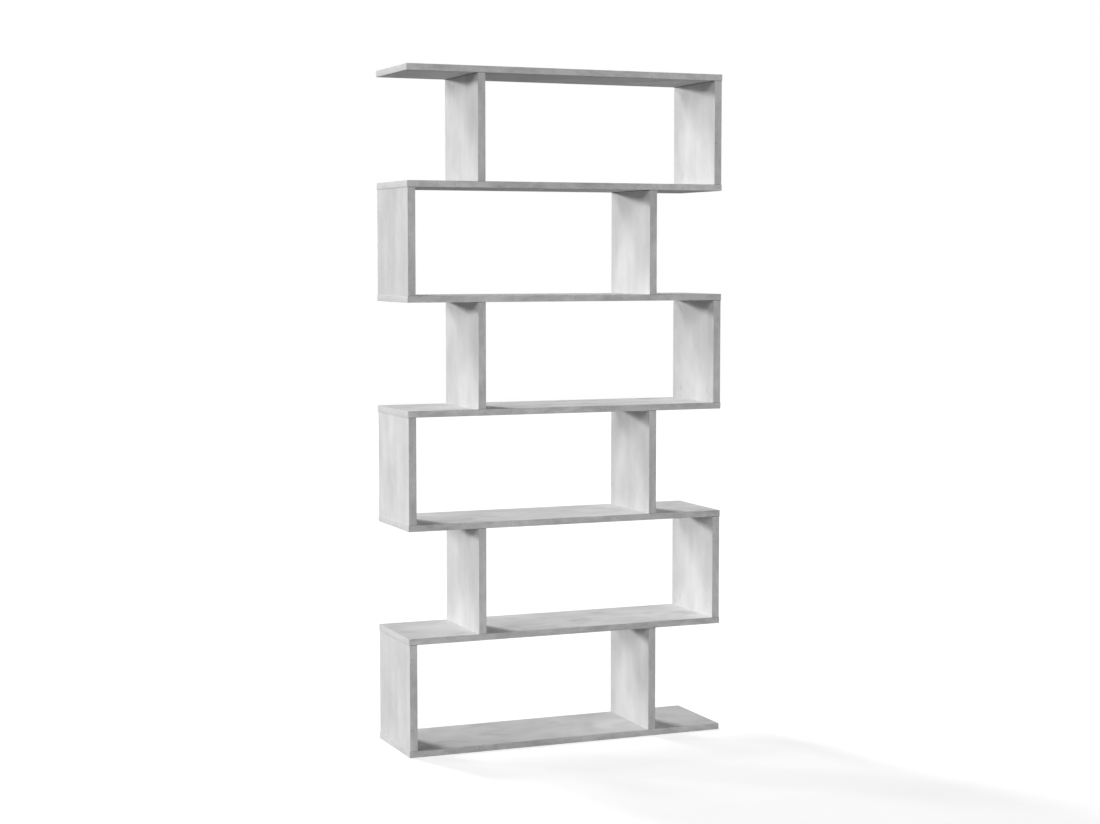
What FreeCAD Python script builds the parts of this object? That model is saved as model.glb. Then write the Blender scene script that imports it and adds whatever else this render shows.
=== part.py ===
import FreeCAD, Part
import os
import re

import Sketcher

# Zigzag bookshelf, open at the front and the back.
#
# Seven full-length shelves carry six tiers of two uprights. On odd tiers the left upright is an
# end panel and the right one stands in from the right ends. Even tiers are the other way round,
# which gives the zigzag. An end panel is flush with the ends of the shelves' boards, so the bands
# on those ends stand proud of it. Each joint is knock-down: dowels and cam bolts stand in the
# shelf, and cams in the upright hook the bolts and pull it tight.
#
# Millimetres, +Z up. The origin is on the floor under the middle of the bottom shelf, the front
# is at -Y and the left end at -X.

TIERS = 6

SIZES = {
    # The boards: the shelf outside its edge bands, the room between two shelves, and how far the
    # inner uprights stand in from the end panels' line.
    "shelf_length": 963,
    "shelf_depth": 270,
    "shelf_thickness": 18,
    "tier_height": 299,
    "upright_thickness": 22,
    "overhang": 206,
    # The edge bands, and the bevel trimmed along their outer arrises.
    "band_thickness": 1.5,
    "band_bevel": 0.5,
    "band_seam": 0.1,
    # Bolts from the front and back edges, dowels further in, and the wood left under a blind hole.
    "bolt_setback": 48,
    "dowel_spacing": 32,
    "blind_floor": 6,
    # Room round a fastener in its hole, and at the closed end of a hole.
    "fit_gap": 0.05,
    "end_gap": 1,
    # Dowel: how far it stands in the upright, and the bevel at its ends.
    "dowel_diameter": 8,
    "dowel_hold": 18,
    "dowel_bevel": 1,
    # Cam bolt: its reach is from the face of the shelf to the middle of the cam.
    "bolt_reach": 34,
    "thread_diameter": 6,
    "collar_diameter": 7,
    "collar_length": 3,
    "shank_diameter": 6,
    "neck_diameter": 4,
    "head_diameter": 7,
    "head_length": 3,
    # Cam: its floor is what lies behind the hook, and it sits a little below the upright's face.
    "cam_diameter": 15,
    "cam_floor": 1.5,
    "cam_sink": 0.3,
    "hook_gap": 0.25,
    "driver_length": 8,
    "driver_width": 2,
    "driver_depth": 2.5,
    # Cover disc: how far it laps onto the upright's face round the cam.
    "cover_lap": 2.5,
    "cover_thickness": 0.4,
    # How far a cut runs past the solid that it opens.
    "overrun": 1,
}

# Sizes and places that follow from the ones above.
DERIVED = {
    "core_length": "shelf_length - 2 * band_thickness",
    "core_depth": "shelf_depth - 2 * band_thickness",
    "bevel": "min(band_bevel; band_thickness * bevel_share)",
    "tier_pitch": "tier_height + shelf_thickness",
    "end_line": "(core_length - upright_thickness) / 2",
    "inner_line": "(core_length - upright_thickness) / 2 - overhang",
    "upright_span": "core_length - upright_thickness - overhang",
    "bolt_row": "shelf_depth / 2 - bolt_setback",
    "dowel_row": "bolt_row - dowel_spacing",
    "blind_depth": "shelf_thickness - blind_floor",
    "hole_round_dowel": "dowel_diameter + 2 * fit_gap",
    "hole_round_thread": "thread_diameter + 2 * fit_gap",
    "hole_round_bolt": "max(collar_diameter; shank_diameter; head_diameter) + 2 * fit_gap",
    "hole_round_cam": "cam_diameter + 2 * fit_gap",
    "cam_line": "bolt_reach - tier_height / 2",
    "cam_face": "upright_thickness / 2 - cam_sink",
    "cam_back": "head_diameter / 2 + hook_gap + cam_floor",
    "cam_hole_depth": "upright_thickness / 2 + cam_back + fit_gap",
    "hook_radius": "sqrt((head_diameter / 2) ^ 2 + (head_length / 2) ^ 2) + hook_gap",
    "hook_half_width": "head_diameter / 2 + hook_gap",
    "slot_half_width": "neck_diameter / 2 + hook_gap",
    "shank_end": "bolt_reach - cam_diameter / 2 - fit_gap",
}

# The most of its band's thickness that the bevel may take.
SHARES = {"bevel_share": 0.9}

# The cam's slot runs a quarter turn to each side of the locked neck, as far as the way in.
FULL_TURN = 360
SLOT_TURN = 180

LEFT = -1
RIGHT = 1


def formula(text):
    """Return text with each size in it pointed at its cell of the sheet."""
    def spell(match):
        word = match.group()
        if word in DERIVED:
            return f"({formula(DERIVED[word])})"
        if word in SHARES:
            return str(SHARES[word])
        return f"Sizes.{word}" if word in SIZES else word
    return re.sub(r"[a-z_]+", spell, text)


def bind(item, name, text):
    """Bind a property of a document object to a formula of the named sizes."""
    item.setExpression(name, formula(text))


def write_sizes(doc):
    """Put the driving dimensions in a sheet, one named cell each."""
    sheet = doc.addObject("Spreadsheet::Sheet", "Sizes")
    for row, (name, value) in enumerate(SIZES.items(), start=1):
        sheet.set(f"A{row}", name)
        sheet.set(f"B{row}", str(value))
        sheet.setAlias(f"B{row}", name)
    doc.recompute()


def new_body(doc, name, height):
    """Add the body of one sub-part, with its middle at the given height on the Z axis."""
    body = doc.addObject("PartDesign::Body", name)
    body.Label = name
    bind(body, "Placement.Base.z", height)
    return body


def origin_item(body, role):
    """Return one of the body's own origin planes or axes."""
    return next(item for item in body.Origin.OriginFeatures if item.Role == role)


def new_sketch(body, name, plane, across="0", up="0", out="0"):
    """Add a sketch on an origin plane, with its own origin moved in the plane and out of it."""
    sketch = body.newObject("Sketcher::SketchObject", name)
    sketch.AttachmentSupport = [(origin_item(body, plane), "")]
    sketch.MapMode = "FlatFace"
    for axis, text in (("x", across), ("y", up), ("z", out)):
        bind(sketch, f"AttachmentOffset.Base.{axis}", text)
    return sketch


def hold(sketch, constraints):
    """Add constraints to a sketch, given as pairs with the formula that drives each, if any."""
    first = sketch.ConstraintCount
    sketch.addConstraint([constraint for constraint, text in constraints])
    for index, (constraint, text) in enumerate(constraints, start=first):
        if text:
            bind(sketch, f"Constraints[{index}]", text)


def point_at(curve, point, across, up):
    """Return the constraints that hold a point of a curve at a place in the sketch."""
    return [
        (Sketcher.Constraint("DistanceX", -1, 1, curve, point, 0), across),
        (Sketcher.Constraint("DistanceY", -1, 1, curve, point, 0), up),
    ]


def draw_outline(sketch, corners):
    """Draw a closed outline of straight runs through corners given as pairs of formulas."""
    starts = [FreeCAD.Vector(index, index ** 2) for index in range(len(corners))]
    ends = starts[1:] + starts[:1]
    lines = [sketch.addGeometry(Part.LineSegment(start, end)) for start, end in zip(starts, ends)]
    constraints = []
    for line, following, (across, up) in zip(lines, lines[1:] + lines[:1], corners):
        constraints.append((Sketcher.Constraint("Coincident", line, 2, following, 1), None))
        constraints += point_at(line, 1, across, up)
    hold(sketch, constraints)


def draw_rectangle(sketch, left, right, bottom, top):
    """Draw a rectangle between four lines given as formulas."""
    draw_outline(sketch, [(left, bottom), (right, bottom), (right, top), (left, top)])


def draw_circle(sketch, across, up, diameter):
    """Draw a circle about a place given as formulas."""
    unit = Part.Circle(FreeCAD.Vector(), FreeCAD.Vector(0, 0, 1), 1)
    circle = sketch.addGeometry(unit)
    radius = (Sketcher.Constraint("Radius", circle, 1), f"({diameter}) / 2")
    hold(sketch, point_at(circle, 3, across, up) + [radius])


def add_pad(body, sketch, length, symmetric=True):
    """Raise a sketch to a solid, to both sides of its plane or along its normal only."""
    pad = body.newObject("PartDesign::Pad", f"{sketch.Name}_pad")
    pad.Profile = sketch
    pad.SideType = "Symmetric" if symmetric else "One side"
    bind(pad, "Length", length)
    return pad


def add_pocket(body, sketch, depth, along_normal=False):
    """Cut a sketch into the body, against its normal or along it."""
    pocket = body.newObject("PartDesign::Pocket", f"{sketch.Name}_pocket")
    pocket.Profile = sketch
    pocket.Reversed = along_normal
    bind(pocket, "Length", depth)
    return pocket


def add_turning(body, kind, sketch, axis, turn=FULL_TURN):
    """Turn a sketch about one of its own axes, as a solid or as a cut."""
    turning = body.newObject(f"PartDesign::{kind}", f"{sketch.Name}_{kind.lower()}")
    turning.Profile = sketch
    turning.ReferenceAxis = (sketch, [axis])
    turning.Angle = turn
    turning.Midplane = turn < FULL_TURN
    return turning


def add_mirror(body, plane, features=None):
    """Mirror some features of the body, or else all of it, in an origin plane."""
    mirror = new_pattern(body, "Mirrored", plane, features)
    mirror.MirrorPlane = (origin_item(body, plane), [""])


def add_copy_across(body, distance):
    """Copy all of the body once, a distance along X."""
    row = new_pattern(body, "LinearPattern", "X_Axis")
    row.Direction = (origin_item(body, "X_Axis"), [""])
    row.Occurrences = 2
    bind(row, "Length", distance)


def new_pattern(body, kind, role, features=None):
    """Add a pattern of some features of the body, or else of all of it, as the body's last step."""
    base = body.Tip
    pattern = body.newObject(f"PartDesign::{kind}", f"{body.Name}_{role}_copies")
    pattern.BaseFeature = base
    if features:
        pattern.Originals = features
    else:
        pattern.TransformMode = "Whole shape"
    body.Tip = pattern
    return pattern


def upright_lines(tier):
    """Return the middle lines of a tier's two uprights, left and right, as formulas."""
    if tier % 2:
        return {LEFT: "-end_line", RIGHT: "inner_line"}
    return {LEFT: "-inner_line", RIGHT: "end_line"}


def cam_side(tier, side):
    """Return the side of an upright that its cams open to.

    It is the right face, but for the right end panels, whose right face is the outside.
    """
    return LEFT if side == RIGHT and tier % 2 == 0 else RIGHT


def shelf_height(number):
    """Return the height of the middle of a shelf, counted from the floor up."""
    return f"{number - 1} * tier_pitch + shelf_thickness / 2"


def tier_middle(tier):
    """Return the height of the middle of a tier."""
    return f"{tier} * tier_pitch - tier_height / 2"


def shelf_name(number):
    """Return the name of a shelf, counted from the floor up."""
    return f"shelf_{number}" + {1: "_bottom", TIERS + 1: "_top"}.get(number, "")


def upright_name(tier, side):
    """Return the name of one of a tier's uprights."""
    end_side = LEFT if tier % 2 else RIGHT
    hand = "left" if side == LEFT else "right"
    return f"tier_{tier}_{hand}_" + ("end_panel" if side == end_side else "upright")


def make_shelf(doc, number):
    """Make a shelf board, drilled for the uprights that stand under it and on it."""
    body = new_body(doc, shelf_name(number), shelf_height(number))
    board = new_sketch(body, f"{body.Name}_board", "XY_Plane")
    draw_rectangle(board, "-core_length / 2", "core_length / 2", "-core_depth / 2", "core_depth / 2")
    add_pad(body, board, "shelf_thickness")
    for face, tier in (("-", number - 1), ("", number)):
        if 1 <= tier <= TIERS:
            drill_shelf(body, tier, f"{face}shelf_thickness / 2", along_normal=face == "-")


def drill_shelf(body, tier, face, along_normal):
    """Drill one face of a shelf for the dowels and cam bolts of a tier."""
    holes = new_sketch(body, f"{body.Name}_holes_to_tier_{tier}", "XY_Plane", out=face)
    for line in upright_lines(tier).values():
        for sign in ("-", ""):
            draw_circle(holes, line, f"{sign}bolt_row", "hole_round_thread")
            draw_circle(holes, line, f"{sign}dowel_row", "hole_round_dowel")
    add_pocket(body, holes, "blind_depth", along_normal)


def make_upright(doc, tier, side):
    """Make an upright, bored in both ends for bolts and dowels and in one face for the cams."""
    body = new_body(doc, upright_name(tier, side), tier_middle(tier))
    bind(body, "Placement.Base.x", upright_lines(tier)[side])
    board = new_sketch(body, f"{body.Name}_board", "XY_Plane")
    half_thickness, half_depth = "upright_thickness / 2", "core_depth / 2"
    draw_rectangle(board, f"-{half_thickness}", half_thickness, f"-{half_depth}", half_depth)
    add_pad(body, board, "tier_height")

    bores = new_sketch(body, f"{body.Name}_bolt_bores", "XY_Plane", out="-tier_height / 2")
    holes = new_sketch(body, f"{body.Name}_dowel_holes", "XY_Plane", out="-tier_height / 2")
    opening = cam_side(tier, side)
    seats = new_sketch(body, f"{body.Name}_cam_seats", "YZ_Plane", out=f"{opening} * {half_thickness}")
    for sign in ("-", ""):
        draw_circle(bores, "0", f"{sign}bolt_row", "hole_round_bolt")
        draw_circle(holes, "0", f"{sign}dowel_row", "hole_round_dowel")
        draw_circle(seats, f"{sign}bolt_row", "cam_line", "hole_round_cam")
    cuts = [
        add_pocket(body, bores, "bolt_reach", along_normal=True),
        add_pocket(body, holes, "dowel_hold + end_gap", along_normal=True),
        add_pocket(body, seats, "cam_hole_depth", along_normal=opening == LEFT),
    ]
    add_mirror(body, "XY_Plane", cuts)


def band_profile(outer, low, high):
    """Return the corners of an edge band's section, bevelled along its two outer arrises."""
    inner = f"{outer} + band_thickness"
    start = f"{outer} + bevel"
    return [
        (inner, low),
        (start, low),
        (outer, f"{low} + bevel"),
        (outer, f"{high} - bevel"),
        (start, high),
        (inner, high),
    ]


def make_shelf_bands(doc, number):
    """Make a shelf's four edge bands: front and back full length, and the ends between them."""
    body = new_body(doc, f"shelf_{number}_edge_bands", shelf_height(number))
    low, high = "-shelf_thickness / 2", "shelf_thickness / 2"
    front = new_sketch(body, f"{body.Name}_front", "YZ_Plane")
    draw_outline(front, band_profile("-shelf_depth / 2", low, high))
    front_band = add_pad(body, front, "shelf_length")
    end = new_sketch(body, f"{body.Name}_end", "XZ_Plane")
    draw_outline(end, band_profile("-shelf_length / 2", low, high))
    end_band = add_pad(body, end, "core_depth - 2 * band_seam")
    add_mirror(body, "XZ_Plane", [front_band])
    add_mirror(body, "YZ_Plane", [end_band])


def make_tier_bands(doc, tier):
    """Make the front and back edge bands of a tier's two uprights."""
    body = new_body(doc, f"tier_{tier}_edge_bands", tier_middle(tier))
    front = new_sketch(body, f"{body.Name}_front", "XY_Plane")
    for line in upright_lines(tier).values():
        left = f"{line} - upright_thickness / 2"
        right = f"{line} + upright_thickness / 2"
        section = band_profile("-shelf_depth / 2", left, right)
        draw_outline(front, [(across, up) for up, across in section])
    add_pad(body, front, "tier_height")
    add_mirror(body, "XZ_Plane")


def make_fasteners(doc, tier, kind, make_one):
    """Make one kind of fastener for a tier: one at the left upright's front foot, then its copies.

    The body's middle is halfway between the two uprights. Where their cams open to the same
    side the right upright's fasteners are plain copies of the left one's, and else mirrored ones.
    """
    body = new_body(doc, f"tier_{tier}_{kind}", tier_middle(tier))
    bind(body, "Placement.Base.x", "-overhang / 2" if tier % 2 else "overhang / 2")
    make_one(body)
    add_mirror(body, "XZ_Plane")
    add_mirror(body, "XY_Plane")
    if cam_side(tier, LEFT) == cam_side(tier, RIGHT):
        add_copy_across(body, "upright_span")
    else:
        add_mirror(body, "YZ_Plane")


def joint_sketch(body, name, row):
    """Add a sketch in the left upright's middle plane, at its foot, in a row of fasteners."""
    place = ("-upright_span / 2", "-tier_height / 2", row)
    return new_sketch(body, f"{body.Name}_{name}", "XZ_Plane", *place)


def cam_sketch(body, name):
    """Add a sketch in the plane of the left upright's front bolt, with its origin in the cam."""
    place = ("-upright_span / 2", "cam_line", "bolt_row")
    return new_sketch(body, f"{body.Name}_{name}", "XZ_Plane", *place)


def face_sketch(body, name, face):
    """Add a sketch square to the left upright's front cam, a distance from the upright's middle."""
    place = ("-bolt_row", "cam_line", f"{face} - upright_span / 2")
    return new_sketch(body, f"{body.Name}_{name}", "YZ_Plane", *place)


def make_dowel(body):
    """Make a dowel across the joint of an upright and the shelf under it."""
    half = joint_sketch(body, "dowel", "dowel_row")
    low, high = "end_gap - blind_depth", "dowel_hold"
    radius, end_radius = "dowel_diameter / 2", "dowel_diameter / 2 - dowel_bevel"
    draw_outline(half, [
        ("0", low),
        (end_radius, low),
        (radius, f"{low} + dowel_bevel"),
        (radius, f"{high} - dowel_bevel"),
        (end_radius, high),
        ("0", high),
    ])
    add_turning(body, "Revolution", half, "V_Axis")


def make_bolt(body):
    """Make a cam bolt: thread in the shelf, collar on its face, then shank, neck and head."""
    half = joint_sketch(body, "bolt", "bolt_row")
    foot = "end_gap - blind_depth"
    head_start = "bolt_reach - head_length / 2"
    head_end = "bolt_reach + head_length / 2"
    steps = [
        ("thread_diameter", foot, "0"),
        ("collar_diameter", "0", "collar_length"),
        ("shank_diameter", "collar_length", "shank_end"),
        ("neck_diameter", "shank_end", head_start),
        ("head_diameter", head_start, head_end),
    ]
    outline = [("0", foot)]
    for diameter, low, high in steps:
        outline += [(f"{diameter} / 2", low), (f"{diameter} / 2", high)]
    draw_outline(half, outline + [("0", head_end)])
    add_turning(body, "Revolution", half, "V_Axis")


def make_cam(body):
    """Make a cam, locked: a drum with a cross for the driver, hollowed to hook a bolt's head."""
    drum = cam_sketch(body, "drum")
    draw_rectangle(drum, "-cam_back", "cam_face", "0", "cam_diameter / 2")
    add_turning(body, "Revolution", drum, "H_Axis")

    hollow = cam_sketch(body, "hollow")
    draw_rectangle(hollow, "-hook_half_width", "hook_half_width", "0", "hook_radius")
    add_turning(body, "Groove", hollow, "H_Axis")

    slot = cam_sketch(body, "slot")
    draw_rectangle(slot, "-slot_half_width", "slot_half_width", "-cam_diameter / 2 - overrun", "0")
    add_turning(body, "Groove", slot, "H_Axis", SLOT_TURN)

    way_in = cam_sketch(body, "way_in")
    draw_circle(way_in, "0", "0", "head_diameter + hook_gap")
    add_pocket(body, way_in, "cam_diameter / 2 + overrun")

    cross = face_sketch(body, "cross", "cam_face")
    arm, half = "driver_length / 2", "driver_width / 2"
    quarter = [(arm, half), (half, half), (half, arm)]
    corners = list(quarter)
    corners += [(f"-{across}", up) for across, up in reversed(quarter)]
    corners += [(f"-{across}", f"-{up}") for across, up in quarter]
    corners += [(across, f"-{up}") for across, up in reversed(quarter)]
    draw_outline(cross, corners)
    add_pocket(body, cross, "driver_depth")


def make_cover(body):
    """Make a cover disc, stuck on the upright's face over a cam."""
    disc = face_sketch(body, "disc", "upright_thickness / 2")
    draw_circle(disc, "0", "0", "hole_round_cam + 2 * cover_lap")
    add_pad(body, disc, "cover_thickness", symmetric=False)


def build(doc):
    """Build every sub-part of the bookshelf."""
    write_sizes(doc)
    for number in range(1, TIERS + 2):
        make_shelf(doc, number)
        make_shelf_bands(doc, number)
    for tier in range(1, TIERS + 1):
        for side in (LEFT, RIGHT):
            make_upright(doc, tier, side)
        make_tier_bands(doc, tier)
        make_fasteners(doc, tier, "dowels", make_dowel)
        make_fasteners(doc, tier, "cam_bolts", make_bolt)
        make_fasteners(doc, tier, "cams", make_cam)
        make_fasteners(doc, tier, "cover_discs", make_cover)
    doc.recompute()


def check(doc):
    """Stop if an object failed, a shape is missing or broken, or a cut took nothing away."""
    for item in doc.Objects:
        if "Invalid" in item.State or "Error" in item.State:
            raise RuntimeError(f"{item.Label} failed: {item.State}")
        if item.TypeId == "PartDesign::Body" and (item.Shape.isNull() or not item.Shape.isValid()):
            raise RuntimeError(f"{item.Label} has no valid shape")
        if item.TypeId in ("PartDesign::Pocket", "PartDesign::Groove"):
            if item.Shape.Volume >= item.BaseFeature.Shape.Volume:
                raise RuntimeError(f"{item.Label} cuts nothing")


def export(doc):
    """Write each sub-part to a file with its own name."""
    os.makedirs("parts", exist_ok=True)
    for item in doc.Objects:
        if item.TypeId == "PartDesign::Body":
            item.Shape.exportStep(f"parts/{item.Label}.step")


document = FreeCAD.newDocument("zigzag_bookshelf")
build(document)
check(document)
export(document)
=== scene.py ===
"""Looks of a zigzag bookshelf: printed boards, rounded edge bands, hidden fasteners and a white studio.

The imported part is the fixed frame. Its boards and fasteners keep their shape and get their finish
here, and its edge bands are replaced by strips with rounded arrises. Lengths are in metres, apart
from those whose names end in _mm, such as the cells of a finish's patterns.
"""

import logging
import math
from dataclasses import dataclass, field
from enum import Enum
from typing import Any

import bmesh
import bpy
from mathutils import Euler, Matrix, Vector


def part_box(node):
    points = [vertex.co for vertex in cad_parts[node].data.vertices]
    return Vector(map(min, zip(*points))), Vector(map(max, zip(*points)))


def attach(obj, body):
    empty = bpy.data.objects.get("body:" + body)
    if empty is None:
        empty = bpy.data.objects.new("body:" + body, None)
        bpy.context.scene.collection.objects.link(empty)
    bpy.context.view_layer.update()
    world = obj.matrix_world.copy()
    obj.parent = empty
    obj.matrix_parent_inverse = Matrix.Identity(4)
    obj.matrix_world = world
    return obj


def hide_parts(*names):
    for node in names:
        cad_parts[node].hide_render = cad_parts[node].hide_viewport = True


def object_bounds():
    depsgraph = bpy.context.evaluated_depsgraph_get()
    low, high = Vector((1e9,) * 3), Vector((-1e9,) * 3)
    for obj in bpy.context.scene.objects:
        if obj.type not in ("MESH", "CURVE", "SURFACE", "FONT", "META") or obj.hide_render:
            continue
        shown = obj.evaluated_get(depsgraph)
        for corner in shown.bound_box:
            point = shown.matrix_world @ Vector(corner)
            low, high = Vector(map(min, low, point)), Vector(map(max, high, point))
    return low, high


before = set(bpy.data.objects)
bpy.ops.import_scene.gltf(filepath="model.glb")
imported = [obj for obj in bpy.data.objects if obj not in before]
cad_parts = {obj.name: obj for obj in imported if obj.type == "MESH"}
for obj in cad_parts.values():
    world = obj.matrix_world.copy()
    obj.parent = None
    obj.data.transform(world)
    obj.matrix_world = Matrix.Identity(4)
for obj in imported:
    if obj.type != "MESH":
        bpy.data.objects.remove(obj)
CAD_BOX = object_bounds()

BODY = "root"
MM_PER_M = 1000.0
MM = 1.0 / MM_PER_M

# Two places that are nearer than this are one place.
TOUCH = 1e-6
# A bevel with this profile is a quarter circle.
ROUND_PROFILE = 0.5
# Faces that meet at less than this angle, in degrees, are shaded as one smooth surface.
SMOOTH_ANGLE = 40.0
# A camera that isn't turned looks straight down, and turned up by this angle, in degrees, it looks level.
LEVEL_GAZE = 90.0
# The Mix node has several sockets of each name, so those for colours are given by their index.
MIX_FACTOR, MIX_A, MIX_B, MIX_RESULT = 0, 6, 7, 2

log = logging.getLogger("bookshelf")

Socket = bpy.types.NodeSocket
Tree = bpy.types.NodeTree


class Run(Enum):
    """Which way a print's streaks run, as the index of the axis that they follow."""

    ALONG_SHELF = 0
    ACROSS_SHELF = 1
    UP_THE_UPRIGHT = 2

    def scale(self, across_mm: float, along_mm: float) -> Vector:
        """Gives the mapping scale that makes one noise cell this wide and this long.

        Args:
            across_mm: Size of a cell across the streaks, in millimetres.
            along_mm: Size of a cell along the streaks, in millimetres.

        Returns:
            The three scale factors for coordinates in metres.
        """
        scale = Vector((MM_PER_M / across_mm,) * 3)
        scale[self.value] = MM_PER_M / along_mm
        return scale


class Side(Enum):
    """Which way an edge band faces, as the index of an axis and the direction along it."""

    FRONT = (1, -1)
    BACK = (1, 1)
    LEFT = (0, -1)
    RIGHT = (0, 1)


def linear(hex_colour: str) -> tuple[float, float, float, float]:
    """Turns an sRGB hex colour into the linear colour that a shader takes.

    Args:
        hex_colour: A colour such as "#D0D0D0".

    Returns:
        Linear red, green and blue, and an alpha of 1.
    """
    values = [int(hex_colour[i : i + 2], 16) / 255 for i in (1, 3, 5)]
    red, green, blue = (v / 12.92 if v <= 0.04045 else ((v + 0.055) / 1.055) ** 2.4 for v in values)
    return red, green, blue, 1.0


def add_node(tree: Tree, kind: str, sockets: dict[str | int, Any], **settings: Any) -> bpy.types.Node:
    """Adds a node, sets it up and links it.

    Args:
        tree: The node tree that takes the node.
        kind: The node's type name.
        sockets: Value or linked output for each input, by the input's name or index.
        **settings: Values of the node's own properties.

    Returns:
        The new node.
    """
    node = tree.nodes.new(kind)
    for name, value in settings.items():
        setattr(node, name, value)
    for key, value in sockets.items():
        if isinstance(value, Socket):
            tree.links.new(value, node.inputs[key])
        else:
            node.inputs[key].default_value = value
    return node


def new_material(name: str) -> tuple[bpy.types.Material, Tree]:
    """Makes a material with an empty node tree.

    Args:
        name: The material's name.

    Returns:
        The material and its node tree.
    """
    material = bpy.data.materials.new(name)
    material.use_nodes = True
    material.node_tree.nodes.clear()
    return material, material.node_tree


def weigh(tree: Tree, patterns: list[Socket], shares: list[float]) -> Socket:
    """Adds patterns up by their shares.

    Args:
        tree: The material's node tree.
        patterns: The outputs that carry the patterns.
        shares: The share of each pattern.

    Returns:
        The output that carries the sum.
    """
    total: Socket | float = 0.0
    for pattern, share in zip(patterns, shares):
        sockets = {0: pattern, 1: share, 2: total}
        total = add_node(tree, "ShaderNodeMath", sockets, operation="MULTIPLY_ADD").outputs[0]
    return total


def coat(tree: Tree, base: str, coats: list[tuple[Socket, str]]) -> Socket:
    """Lays colours over a base colour, one after the other.

    Args:
        tree: The material's node tree.
        base: The colour underneath.
        coats: For each coat, the output that says how much it covers, and its colour.

    Returns:
        The output that carries the finished colour.
    """
    colour: Socket | tuple[float, float, float, float] = linear(base)
    for cover, over in coats:
        sockets = {MIX_FACTOR: cover, MIX_A: colour, MIX_B: linear(over)}
        colour = add_node(tree, "ShaderNodeMix", sockets, data_type="RGBA").outputs[MIX_RESULT]
    return colour


@dataclass(frozen=True)
class Pattern:
    """One layer of a finish: noise with cells of a real size, stretched to the range from 0 to 1.

    Detail is the octaves of finer noise, share is how much of the layer shows, and low and high are
    the values of the noise that become 0 and 1.
    """

    across_mm: float
    along_mm: float
    detail: float
    share: float = 1.0
    low: float = 0.25
    high: float = 0.75

    def draw(self, tree: Tree, coords: Socket, run: Run) -> Socket:
        """Draws the pattern.

        Args:
            tree: The material's node tree.
            coords: Coordinates in metres.
            run: Which way the length of the cells runs.

        Returns:
            The output that carries the pattern.
        """
        cells = {"Vector": coords, "Scale": run.scale(self.across_mm, self.along_mm)}
        placed = add_node(tree, "ShaderNodeMapping", cells).outputs[0]
        sockets = {"Vector": placed, "Scale": 1.0, "Detail": self.detail}
        noise = add_node(tree, "ShaderNodeTexNoise", sockets).outputs[0]
        spread = {"Value": noise, "From Min": self.low, "From Max": self.high}
        return add_node(tree, "ShaderNodeMapRange", spread).outputs[0]


class BoardTone(Enum):
    """Tones of the boards' print, each a little lighter or darker: pale and deep colour."""

    PALE = ("#E6E6E6", "#CBCBCB")
    LIGHT = ("#DFDFDF", "#C4C4C4")
    MIDDLE = ("#D9D9D9", "#BFBFBF")
    DARK = ("#D1D1D1", "#B6B6B6")


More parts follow.
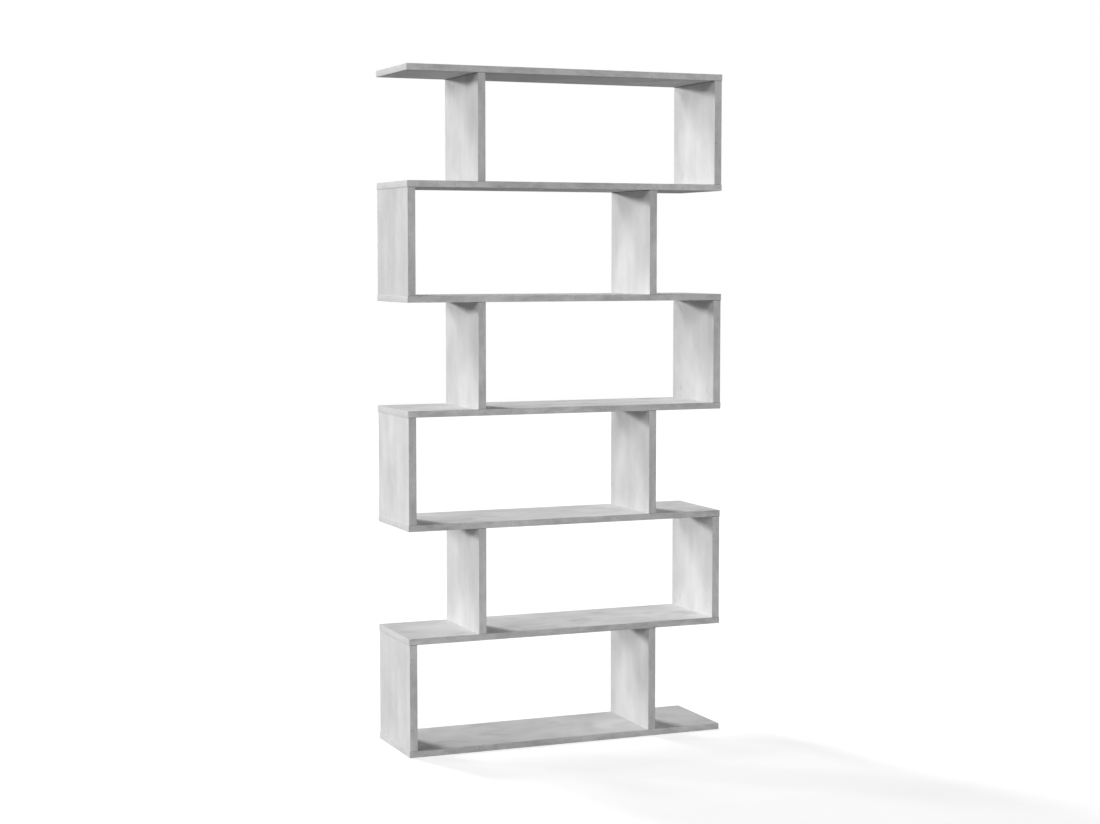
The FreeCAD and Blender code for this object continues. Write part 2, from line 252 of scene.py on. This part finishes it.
@dataclass(frozen=True)
class Melamine:
    """Melamine-faced chipboard with a pale concrete print, pressed against a finely textured plate.

    The printed paper gives soft clouds and a few long streaks, some levels apart, that run one way,
    and on the shelves here and there a dark smudge. The resin over it is matt, with a faint grain that
    scatters most of its gloss. The plate's own grain is too fine to show, so it is drawn coarser, as
    the fibres.
    """

    name: str
    run: Run
    clouds: Pattern
    streaks: Pattern
    blotches: Pattern
    smudges: Pattern | None = None
    # Width in millimetres of the painted shade line at each upright's head; 0 paints none.
    joint_shade_mm: float = 0.0
    outer_skin_mm: float = 1.0
    fibres: Pattern = Pattern(1.6, 9.0, detail=2.0, share=0.02)
    smudge: str = "#959595"
    # Colour of that painted shade line.
    shade: str = "#202020"
    relief_mm: float = 0.03
    relief_strength: float = 0.4
    matt: float = 0.86
    dull: float = 0.94
    ior: float = 1.5
    gloss: float = 0.05

    def painted_joint_shade(self, tree: Tree, coords: Socket) -> Socket:
        """Paints a line of shade along an upright's head, where it meets the shelf above.

        The line is painted shade. It stands for the shade in that joint, which is a few tenths of a
        millimetre wide, and is drawn wider so that it shows. The outer faces of the end panels, to the
        depth of outer_skin_mm, have none, because there the shelf's end band stands in front of it.

        Args:
            tree: The material's node tree.
            coords: Coordinates in metres.

        Returns:
            The output that is 1 on the painted shade line.
        """
        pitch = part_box("shelf_2")[0].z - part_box("shelf_1_bottom")[0].z
        outer = abs(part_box("tier_1_left_end_panel")[0].x)
        place = add_node(tree, "ShaderNodeSeparateXYZ", {"Vector": coords}).outputs
        rise = {0: place["Z"], 1: pitch}
        height = add_node(tree, "ShaderNodeMath", rise, operation="MODULO").outputs[0]
        line = {0: height, 1: pitch - self.joint_shade_mm * MM}
        head = add_node(tree, "ShaderNodeMath", line, operation="GREATER_THAN").outputs[0]
        reach = add_node(tree, "ShaderNodeMath", {0: place["X"]}, operation="ABSOLUTE").outputs[0]
        skin = {0: reach, 1: outer - self.outer_skin_mm * MM}
        inner = add_node(tree, "ShaderNodeMath", skin, operation="LESS_THAN").outputs[0]
        return add_node(tree, "ShaderNodeMath", {0: head, 1: inner}, operation="MULTIPLY").outputs[0]

    def material(self, sheet: BoardTone) -> bpy.types.Material:
        """Builds the node material.

        Args:
            tone: The tone of the board's print.

        Returns:
            The board's material.
        """
        material, tree = new_material(f"{self.name}_{sheet.name.lower()}")
        coords = add_node(tree, "ShaderNodeTexCoord", {}).outputs["Object"]
        layers = (self.clouds, self.streaks, self.blotches, self.fibres)
        drawn = [layer.draw(tree, coords, self.run) for layer in layers]
        clouds, fibres = drawn[0], drawn[-1]

        pale, deep = sheet.value
        coats = [(weigh(tree, drawn, [layer.share for layer in layers]), pale)]
        if self.smudges:
            smudges = self.smudges.draw(tree, coords, self.run)
            coats.append((weigh(tree, [smudges], [self.smudges.share]), self.smudge))
        # Painted shade: a dark line at each upright's head, under the shelf.
        if self.joint_shade_mm:
            coats.append((self.painted_joint_shade(tree, coords), self.shade))
        rough = {"Value": clouds, "To Min": self.matt, "To Max": self.dull}
        bump = {"Height": fibres, "Distance": self.relief_mm * MM, "Strength": self.relief_strength}
        sockets = {
            "Base Color": coat(tree, deep, coats),
            "Roughness": add_node(tree, "ShaderNodeMapRange", rough).outputs[0],
            "IOR": self.ior,
            "Specular IOR Level": self.gloss,
            "Normal": add_node(tree, "ShaderNodeBump", bump).outputs[0],
        }
        shader = add_node(tree, "ShaderNodeBsdfPrincipled", sockets)
        add_node(tree, "ShaderNodeOutputMaterial", {"Surface": shader.outputs[0]})
        return material


@dataclass(frozen=True)
class EdgeBand:
    """ABS edge band, extruded, printed to match the boards and trimmed with a radius scraper.

    On so narrow a strip the print shows as patches along it, with a few short dark ticks across it.
    The grit of its matt lacquer is too fine to show, so it is drawn coarser.
    """

    name: str
    run: Run
    pale: str = "#E2E2E2"
    deep: str = "#B4B4B4"
    tick: str = "#8A8A8A"
    patches: Pattern = Pattern(60.0, 170.0, detail=3.0, share=0.6)
    mottle: Pattern = Pattern(14.0, 30.0, detail=2.0, share=0.4)
    ticks: Pattern = Pattern(13.0, 4.0, detail=1.0, share=0.5, low=0.68, high=0.8)
    grit: Pattern = Pattern(0.8, 0.8, detail=1.0, low=0.2, high=0.8)
    relief_mm: float = 0.02
    relief_strength: float = 0.35
    matt: float = 0.76
    dull: float = 0.84
    ior: float = 1.5
    gloss: float = 0.12

    def material(self) -> bpy.types.Material:
        """Builds the node material.

        Returns:
            The edge band's material.
        """
        material, tree = new_material(self.name)
        coords = add_node(tree, "ShaderNodeTexCoord", {}).outputs["Object"]
        patches = self.patches.draw(tree, coords, self.run)
        mottle = self.mottle.draw(tree, coords, self.run)
        ticks = self.ticks.draw(tree, coords, self.run)
        grit = self.grit.draw(tree, coords, self.run)

        printed = weigh(tree, [patches, mottle], [self.patches.share, self.mottle.share])
        ticked = weigh(tree, [ticks], [self.ticks.share])
        rough = {"Value": mottle, "To Min": self.matt, "To Max": self.dull}
        bump = {"Height": grit, "Distance": self.relief_mm * MM, "Strength": self.relief_strength}
        sockets = {
            "Base Color": coat(tree, self.deep, [(printed, self.pale), (ticked, self.tick)]),
            "Roughness": add_node(tree, "ShaderNodeMapRange", rough).outputs[0],
            "IOR": self.ior,
            "Specular IOR Level": self.gloss,
            "Normal": add_node(tree, "ShaderNodeBump", bump).outputs[0],
        }
        shader = add_node(tree, "ShaderNodeBsdfPrincipled", sockets)
        add_node(tree, "ShaderNodeOutputMaterial", {"Surface": shader.outputs[0]})
        return material


@dataclass(frozen=True)
class Beech:
    """Turned beech, left bare: pale brown, with soft rings and fine darker flecks along the dowel."""

    name: str = "turned_beech"
    pale: str = "#D9B48A"
    deep: str = "#BE9264"
    flecks: Pattern = Pattern(0.6, 5.0, detail=1.0, low=0.55, high=0.75)
    rings: Pattern = Pattern(2.5, 40.0, detail=2.0, low=0.3, high=0.7)
    relief_mm: float = 0.05
    relief_strength: float = 0.4
    roughness: float = 0.62

    def material(self) -> bpy.types.Material:
        """Builds the node material.

        Returns:
            The dowels' material.
        """
        material, tree = new_material(self.name)
        coords = add_node(tree, "ShaderNodeTexCoord", {}).outputs["Object"]
        rings = self.rings.draw(tree, coords, Run.UP_THE_UPRIGHT)
        flecks = self.flecks.draw(tree, coords, Run.UP_THE_UPRIGHT)
        bump = {"Height": flecks, "Distance": self.relief_mm * MM, "Strength": self.relief_strength}
        sockets = {
            "Base Color": coat(tree, self.deep, [(rings, self.pale), (flecks, self.deep)]),
            "Roughness": self.roughness,
            "Normal": add_node(tree, "ShaderNodeBump", bump, invert=True).outputs[0],
        }
        shader = add_node(tree, "ShaderNodeBsdfPrincipled", sockets)
        add_node(tree, "ShaderNodeOutputMaterial", {"Surface": shader.outputs[0]})
        return material


@dataclass(frozen=True)
class ZincMetal:
    """Zinc, plated on turned steel or die-cast: a cool grey metal, mottled by its surface."""

    name: str
    bright: str
    dull: str
    mottle: Pattern
    smooth: float
    coarse: float
    relief_mm: float
    relief_strength: float = 0.5
    metallic: float = 1.0

    def material(self) -> bpy.types.Material:
        """Builds the node material.

        Returns:
            The metal's material.
        """
        material, tree = new_material(self.name)
        coords = add_node(tree, "ShaderNodeTexCoord", {}).outputs["Object"]
        mottle = self.mottle.draw(tree, coords, Run.ALONG_SHELF)
        rough = {"Value": mottle, "To Min": self.smooth, "To Max": self.coarse}
        bump = {"Height": mottle, "Distance": self.relief_mm * MM, "Strength": self.relief_strength}
        sockets = {
            "Base Color": coat(tree, self.dull, [(mottle, self.bright)]),
            "Metallic": self.metallic,
            "Roughness": add_node(tree, "ShaderNodeMapRange", rough).outputs[0],
            "Normal": add_node(tree, "ShaderNodeBump", bump).outputs[0],
        }
        shader = add_node(tree, "ShaderNodeBsdfPrincipled", sockets)
        add_node(tree, "ShaderNodeOutputMaterial", {"Surface": shader.outputs[0]})
        return material


def dress(name: str, material: bpy.types.Material) -> None:
    """Gives a node of the part a finish through its material slots.

    Args:
        name: Name of the node.
        material: The finish.
    """
    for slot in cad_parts[name].material_slots:
        slot.material = material
    log.info("dressed %s in %s", name, material.name)


def nodes_with(*endings: str) -> list[str]:
    """Lists the part's nodes whose names end in one of these words, in order."""
    return sorted(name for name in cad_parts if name.endswith(endings))


@dataclass
class Strip:
    """A straight length of edge band between two corners, with the side that it faces.

    Its outer arrises are rounded along it, and at its ends too unless these butt against other strips.
    Bare ends show its core: there every face whose normal leans along the strip by more than cut_slope
    takes the core's finish.
    """

    low: Vector
    high: Vector
    side: Side
    run: Run
    rounds_ends: bool = True
    bare_ends: bool = False
    cut_slope: float = 0.3

    def picks(self, edge: bmesh.types.BMEdge) -> bool:
        """Tells whether an edge is one of the outer arrises that the trimmer rounds.

        Args:
            edge: An edge of the strip's block.

        Returns:
            True for an edge round the outer face, or for its two long ones where the ends butt.
        """
        axis, direction = self.side.value
        outer = (self.high if direction > 0 else self.low)[axis]
        if any(abs(vert.co[axis] - outer) > TOUCH for vert in edge.verts):
            return False
        return self.rounds_ends or edge.calc_length() > max(self.high - self.low) - TOUCH

    def model(
        self, radius: float, segments: int, material: bpy.types.Material, core: bpy.types.Material
    ) -> bpy.types.Object:
        """Models the strip: a block whose outer arrises are rounded in edit mode.

        Args:
            radius: Radius of the arrises.
            segments: Faces across each rounding.
            material: The strip's finish.
            core: The finish of its cut ends, where they are bare.

        Returns:
            The strip, with its place in its mesh.
        """
        bpy.ops.object.select_all(action="DESELECT")
        middle, size = (self.low + self.high) / 2, self.high - self.low
        bpy.ops.mesh.primitive_cube_add(size=1.0, location=middle, scale=size)
        bpy.ops.object.transform_apply(location=True, rotation=True, scale=True)
        strip = bpy.context.object
        bpy.ops.object.mode_set(mode="EDIT")
        bpy.ops.mesh.select_mode(type="EDGE")
        bpy.ops.mesh.select_all(action="DESELECT")
        mesh = bmesh.from_edit_mesh(strip.data)
        for edge in mesh.edges:
            edge.select_set(self.picks(edge))
        bmesh.update_edit_mesh(strip.data)
        bpy.ops.mesh.bevel(offset=radius, segments=segments, profile=ROUND_PROFILE, affect="EDGES")
        bpy.ops.object.mode_set(mode="OBJECT")
        strip.data.materials.append(material)
        if self.bare_ends:
            strip.data.materials.append(core)
            for face in strip.data.polygons:
                face.material_index = int(abs(face.normal[self.run.value]) > self.cut_slope)
        return strip


@dataclass
class Bands:
    """The edge bands: strips glued round the boards, each set standing for one node of the part.

    A shelf's end strips lie between its front and back ones, a seam apart, and are trimmed by the
    undercut at the top and the bottom. An upright's strips end a joint gap short of the shelves, and
    there the core shows, grey all through.
    """

    finishes: tuple[EdgeBand, ...] = (
        EdgeBand("printed_abs_shelf_band", Run.ALONG_SHELF, pale="#E8E8E8", deep="#A9A9A9"),
        EdgeBand("printed_abs_end_band", Run.ACROSS_SHELF, pale="#D7D7D7", deep="#BEBEBE"),
        EdgeBand("printed_abs_upright_band", Run.UP_THE_UPRIGHT),
    )
    core_finish: EdgeBand = EdgeBand(
        "cut_abs_core", Run.UP_THE_UPRIGHT, pale="#7C7C7C", deep="#5E5E5E", tick="#505050"
    )
    thickness: float = 1.5 * MM
    seam: float = 0.1 * MM
    joint_gap: float = 0.5 * MM
    undercut: float = 0.3 * MM
    arris: float = 0.6 * MM
    segments: int = 4

    def shelf_strips(self, low: Vector, high: Vector) -> list[Strip]:
        """Lays out the strips round one shelf: front and back full length, the ends between them.

        Args:
            low: Lowest corner of the shelf's bands.
            high: Highest corner of the shelf's bands.

        Returns:
            The four strips.
        """
        front_high = Vector((high.x, low.y + self.thickness, high.z))
        back_low = Vector((low.x, high.y - self.thickness, low.z))
        inset = self.thickness + self.seam
        near, far = low.y + inset, high.y - inset
        floor, top = low.z + self.undercut, high.z - self.undercut
        left = Vector((low.x, near, floor)), Vector((low.x + self.thickness, far, top))
        right = Vector((high.x - self.thickness, near, floor)), Vector((high.x, far, top))
        return [
            Strip(low, front_high, Side.FRONT, Run.ALONG_SHELF),
            Strip(back_low, high, Side.BACK, Run.ALONG_SHELF),
            Strip(*left, Side.LEFT, Run.ACROSS_SHELF, rounds_ends=False),
            Strip(*right, Side.RIGHT, Run.ACROSS_SHELF, rounds_ends=False),
        ]

    def upright_strips(self, tier: int) -> list[Strip]:
        """Lays out the front and back strips of one tier's two uprights.

        Args:
            tier: Number of the tier, from the floor.

        Returns:
            The four strips.
        """
        low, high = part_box(f"tier_{tier}_edge_bands")
        floor, top = low.z + self.joint_gap, high.z - self.joint_gap
        strips = []
        for name in nodes_with("upright", "end_panel"):
            if not name.startswith(f"tier_{tier}_"):
                continue
            left, right = (corner.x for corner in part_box(name))
            front = Vector((left, low.y, floor)), Vector((right, low.y + self.thickness, top))
            back = Vector((left, high.y - self.thickness, floor)), Vector((right, high.y, top))
            strips.append(Strip(*front, Side.FRONT, Run.UP_THE_UPRIGHT, bare_ends=True))
            strips.append(Strip(*back, Side.BACK, Run.UP_THE_UPRIGHT, bare_ends=True))
        return strips

    def join(
        self,
        strips: list[Strip],
        name: str,
        prints: dict[Run, bpy.types.Material],
        core: bpy.types.Material,
    ) -> bpy.types.Object:
        """Models strips and joins them into one piece.

        Args:
            strips: The strips.
            name: Name of the piece.
            prints: The finish for each run of the print.
            core: The finish of bare ends.

        Returns:
            The piece.
        """
        made = [strip.model(self.arris, self.segments, prints[strip.run], core) for strip in strips]
        bpy.ops.object.select_all(action="DESELECT")
        for strip in made:
            strip.select_set(True)
        bpy.context.view_layer.objects.active = made[0]
        bpy.ops.object.join()
        piece = bpy.context.object
        bpy.ops.object.shade_smooth_by_angle(angle=math.radians(SMOOTH_ANGLE))
        piece.name = name
        return piece

    def settle(self, piece: bpy.types.Object, node: str) -> None:
        """Lets a set of strips stand for its node.

        Args:
            piece: The set of strips.
            node: The node that it replaces.
        """
        piece.data.name = piece.name
        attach(piece, BODY)
        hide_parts(node)
        log.info("modelled %s in place of %s", piece.name, node)

    def build(self) -> None:
        """Models one set for each kind of board and copies it to the others of its kind.

        All shelves are of one kind. Odd and even tiers are two kinds, because their uprights stand
        at different places along the shelf.
        """
        core = self.core_finish.material()
        prints = {finish.run: finish.material() for finish in self.finishes}
        firsts: dict[str, tuple[bpy.types.Object, str]] = {}
        for node in nodes_with("edge_bands"):
            board, number = node.split("_")[:2]
            kind = board if board == "shelf" else f"{board}_{int(number) % 2}"
            name = f"{board}_{number}_band_strips"
            if kind in firsts:
                first, first_node = firsts[kind]
                piece = first.copy()
                piece.data = first.data.copy()
                piece.name = name
                bpy.context.scene.collection.objects.link(piece)
                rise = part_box(node)[0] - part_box(first_node)[0]
                piece.data.transform(Matrix.Translation(rise))
            else:
                if board == "shelf":
                    strips = self.shelf_strips(*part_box(node))
                else:
                    strips = self.upright_strips(int(number))
                piece = self.join(strips, name, prints, core)
                firsts[kind] = piece, node
            self.settle(piece, node)


@dataclass
class Boards:
    """The shelves and uprights, which keep the part's shape and get their print here.

    A board that no tone lists takes the middle one.
    """

    shelf_finish: Melamine = Melamine(
        "printed_melamine_shelf",
        Run.ALONG_SHELF,
        clouds=Pattern(90.0, 130.0, detail=0.6, share=0.56),
        streaks=Pattern(50.0, 90.0, detail=0.5, share=0.24),
        blotches=Pattern(38.0, 50.0, detail=1.0, share=0.18),
        smudges=Pattern(60.0, 76.0, detail=1.5, share=0.4, low=0.55, high=0.85),
    )
    upright_finish: Melamine = Melamine(
        "printed_melamine_upright",
        Run.UP_THE_UPRIGHT,
        clouds=Pattern(76.0, 120.0, detail=0.6, share=0.56),
        streaks=Pattern(34.0, 170.0, detail=0.5, share=0.24),
        blotches=Pattern(24.0, 30.0, detail=1.0, share=0.18),
        # A painted shade line, 1.2 mm wide, at each upright's head.
        joint_shade_mm=1.2,
    )
    # The shelves' tones are painted light and shade. Shelves 2 to 4, whose lit tops show, are paler.
    # Shelves 5 to 7, high up where their shaded undersides show, are darker. The uprights' tones differ
    # board by board.
    board_tones: dict[BoardTone, tuple[str, ...]] = field(
        default_factory=lambda: {
            BoardTone.PALE: ("shelf_2", "shelf_3", "shelf_4"),
            BoardTone.LIGHT: ("tier_3_left", "tier_5_right", "tier_6_right"),
            BoardTone.DARK: (
                "shelf_5",
                "shelf_6",
                "shelf_7",
                "tier_1_right",
                "tier_3_right",
                "tier_4_right",
            ),
        }
    )

    def tone_of(self, name: str) -> BoardTone:
        """Tells which tone a board, given by the name of its node, takes."""
        listed = [sheet for sheet, starts in self.board_tones.items() if name.startswith(starts)]
        return listed[0] if listed else BoardTone.MIDDLE

    def build(self) -> None:
        """Dresses every shelf and upright, and the cover discs.

        The discs of a tier with a right end panel take that panel's tone, because on its inner face they
        show from the front left. The others take the middle tone.
        """
        shelves = {sheet: self.shelf_finish.material(sheet) for sheet in BoardTone}
        uprights = {sheet: self.upright_finish.material(sheet) for sheet in BoardTone}
        for name in sorted(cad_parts):
            if name.startswith("shelf_") and not name.endswith("bands"):
                dress(name, shelves[self.tone_of(name)])
            elif name.endswith(("upright", "end_panel")):
                dress(name, uprights[self.tone_of(name)])
            elif name.endswith("cover_discs"):
                panel = name.replace("cover_discs", "right_end_panel")
                sheet = self.tone_of(panel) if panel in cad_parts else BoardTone.MIDDLE
                dress(name, uprights[sheet])


@dataclass
class Fasteners:
    """The dowels, cam bolts and cams inside the joints."""

    dowel_finish: Beech = Beech()
    bolt_finish: ZincMetal = ZincMetal(
        "zinc_plated_steel",
        bright="#C9CDD1",
        dull="#A9ADB2",
        mottle=Pattern(3.0, 3.0, detail=3.0, low=0.3, high=0.7),
        smooth=0.22,
        coarse=0.34,
        relief_mm=0.01,
    )
    cam_finish: ZincMetal = ZincMetal(
        "die_cast_zinc",
        bright="#B2B5B8",
        dull="#8E9194",
        mottle=Pattern(1.6, 1.6, detail=3.0, low=0.3, high=0.7),
        smooth=0.42,
        coarse=0.58,
        relief_mm=0.03,
    )

    def build(self) -> None:
        """Dresses every fastener."""
        finishes = {"dowels": self.dowel_finish, "cam_bolts": self.bolt_finish, "cams": self.cam_finish}
        for ending, finish in finishes.items():
            material = finish.material()
            for name in nodes_with(ending):
                dress(name, material)


@dataclass(frozen=True)
class Lamp:
    """A large far soft box, seen from the shelf as an even disc at a bearing and a height.

    The bearing is counted from straight in front, to the right. It, the elevation and the spread,
    which is the width of the disc, are in degrees.
    """

    name: str
    bearing: float
    elevation: float
    spread: float
    level: float

    def build(self) -> None:
        """Hangs the lamp. At a level of 1 a white face turned to it renders white."""
        data = bpy.data.lights.new(self.name, "SUN")
        data.angle = math.radians(self.spread)
        data.energy = self.level * math.pi
        lamp = bpy.data.objects.new(self.name, data)
        bpy.context.scene.collection.objects.link(lamp)
        turn, rise = math.radians(self.bearing), math.radians(self.elevation)
        flat = math.cos(rise)
        out = Vector((math.sin(turn) * flat, -math.cos(turn) * flat, math.sin(rise)))
        lamp.rotation_euler = out.to_track_quat("Z", "Y").to_euler()
        lamp.location = CAD_BOX[1] + out
        log.info("hung lamp %s", self.name)


@dataclass
class Studio:
    """A white studio: pale floor, white surroundings, soft boxes and the camera.

    The floor has one plain colour for the light that it throws back. To the camera it shows its glow
    and, on its veil, the lamps' light: together white where it is lit, and below white in shadow.
    The three strip boxes stand over each other and make one tall narrow box. It blurs the shelves'
    shadows, which it draws out up and down, and leaves those of the uprights crisp.
    """

    floor_size: float = 24.0
    floor_colour: str = "#A0A0A0"
    glow: float = 0.77
    veil: str = "#B4B4B4"
    sky_colour: str = "#FFFFFF"
    sky_seen: float = 1.0
    sky_fill: float = 0.01
    lamps: tuple[Lamp, ...] = (
        Lamp("strip_box_back_low", -161.0, 30.0, 9.0, 0.16),
        Lamp("strip_box_back_middle", -161.0, 37.0, 9.0, 0.27),
        Lamp("strip_box_back_high", -161.0, 44.0, 9.0, 0.33),
        Lamp("soft_box_far_left", -131.0, 6.1, 4.5, 0.71),
        Lamp("soft_box_left", -68.0, 11.0, 12.0, 0.25),
        Lamp("soft_box_front_right", 34.0, 10.0, 8.0, 0.45),
        Lamp("soft_box_right", 98.0, 14.0, 10.0, 0.25),
        Lamp("soft_box_back_right", 155.0, 8.0, 10.0, 0.06),
    )
    camera_place: Vector = field(default_factory=lambda: Vector((-2.348451, -5.647875, 1.389908)))
    camera_yaw: float = -22.5546
    camera_pitch: float = -4.1589
    focal_px: float = 2115.274
    photo_width_px: float = 1100.0
    sensor_mm: float = 36.0

    def seen_rays(self, tree: Tree) -> Socket:
        """Marks the rays that should meet a white background: from the camera, gloss or glass.

        Args:
            tree: Node tree of the floor's material or of the world.

        Returns:
            The output that is 1 for those rays.
        """
        path = add_node(tree, "ShaderNodeLightPath", {}).outputs
        seen = path["Is Camera Ray"]
        for other in ("Is Glossy Ray", "Is Transmission Ray"):
            either = {0: seen, 1: path[other]}
            seen = add_node(tree, "ShaderNodeMath", either, operation="MAXIMUM").outputs[0]
        return seen

    def build_floor(self) -> None:
        """Lays the floor: plain and pale for the light, white with a soft shadow for the camera."""
        bpy.ops.object.select_all(action="DESELECT")
        bpy.ops.mesh.primitive_plane_add(size=self.floor_size)
        floor = bpy.context.object
        floor.name = "studio_floor"
        material, tree = new_material("pale_studio_floor")
        plain = add_node(tree, "ShaderNodeBsdfDiffuse", {"Color": linear(self.floor_colour)})
        glow = add_node(tree, "ShaderNodeEmission", {"Strength": self.glow})
        veil = add_node(tree, "ShaderNodeBsdfDiffuse", {"Color": linear(self.veil)})
        white = add_node(tree, "ShaderNodeAddShader", {0: glow.outputs[0], 1: veil.outputs[0]})
        sockets = {0: self.seen_rays(tree), 1: plain.outputs[0], 2: white.outputs[0]}
        mixed = add_node(tree, "ShaderNodeMixShader", sockets)
        add_node(tree, "ShaderNodeOutputMaterial", {"Surface": mixed.outputs[0]})
        floor.data.materials.append(material)
        log.info("laid %s", floor.name)

    def build_world(self) -> None:
        """Sets the surroundings: white to look at, and a faint even fill on the object."""
        world = bpy.data.worlds.new("white_surroundings")
        world.use_nodes = True
        tree = world.node_tree
        tree.nodes.clear()
        levels = {"Value": self.seen_rays(tree), "To Min": self.sky_fill, "To Max": self.sky_seen}
        strength = add_node(tree, "ShaderNodeMapRange", levels).outputs[0]
        sockets = {"Color": linear(self.sky_colour), "Strength": strength}
        sky = add_node(tree, "ShaderNodeBackground", sockets)
        add_node(tree, "ShaderNodeOutputWorld", {"Surface": sky.outputs[0]})
        bpy.context.scene.world = world

    def build_camera(self) -> None:
        """Stands the camera where the photograph was taken from."""
        data = bpy.data.cameras.new("photo_camera")
        data.sensor_fit = "HORIZONTAL"
        data.sensor_width = self.sensor_mm
        data.lens = self.focal_px * self.sensor_mm / self.photo_width_px
        camera = bpy.data.objects.new("photo_camera", data)
        bpy.context.scene.collection.objects.link(camera)
        camera.location = self.camera_place
        tilt, turn = math.radians(LEVEL_GAZE + self.camera_pitch), math.radians(self.camera_yaw)
        camera.rotation_euler = Euler((tilt, 0.0, turn))
        bpy.context.scene.camera = camera

    def build(self) -> None:
        """Builds the whole studio and sets the view."""
        self.build_floor()
        self.build_world()
        for lamp in self.lamps:
            lamp.build()
        self.build_camera()
        bpy.context.scene.view_settings.view_transform = "Standard"


def main() -> None:
    """Builds the sub-assemblies in order, then the studio."""
    logging.basicConfig(level=logging.INFO, format="%(name)s: %(message)s")
    Boards().build()
    Bands().build()
    Fasteners().build()
    Studio().build()


if __name__ == "__main__":
    main()
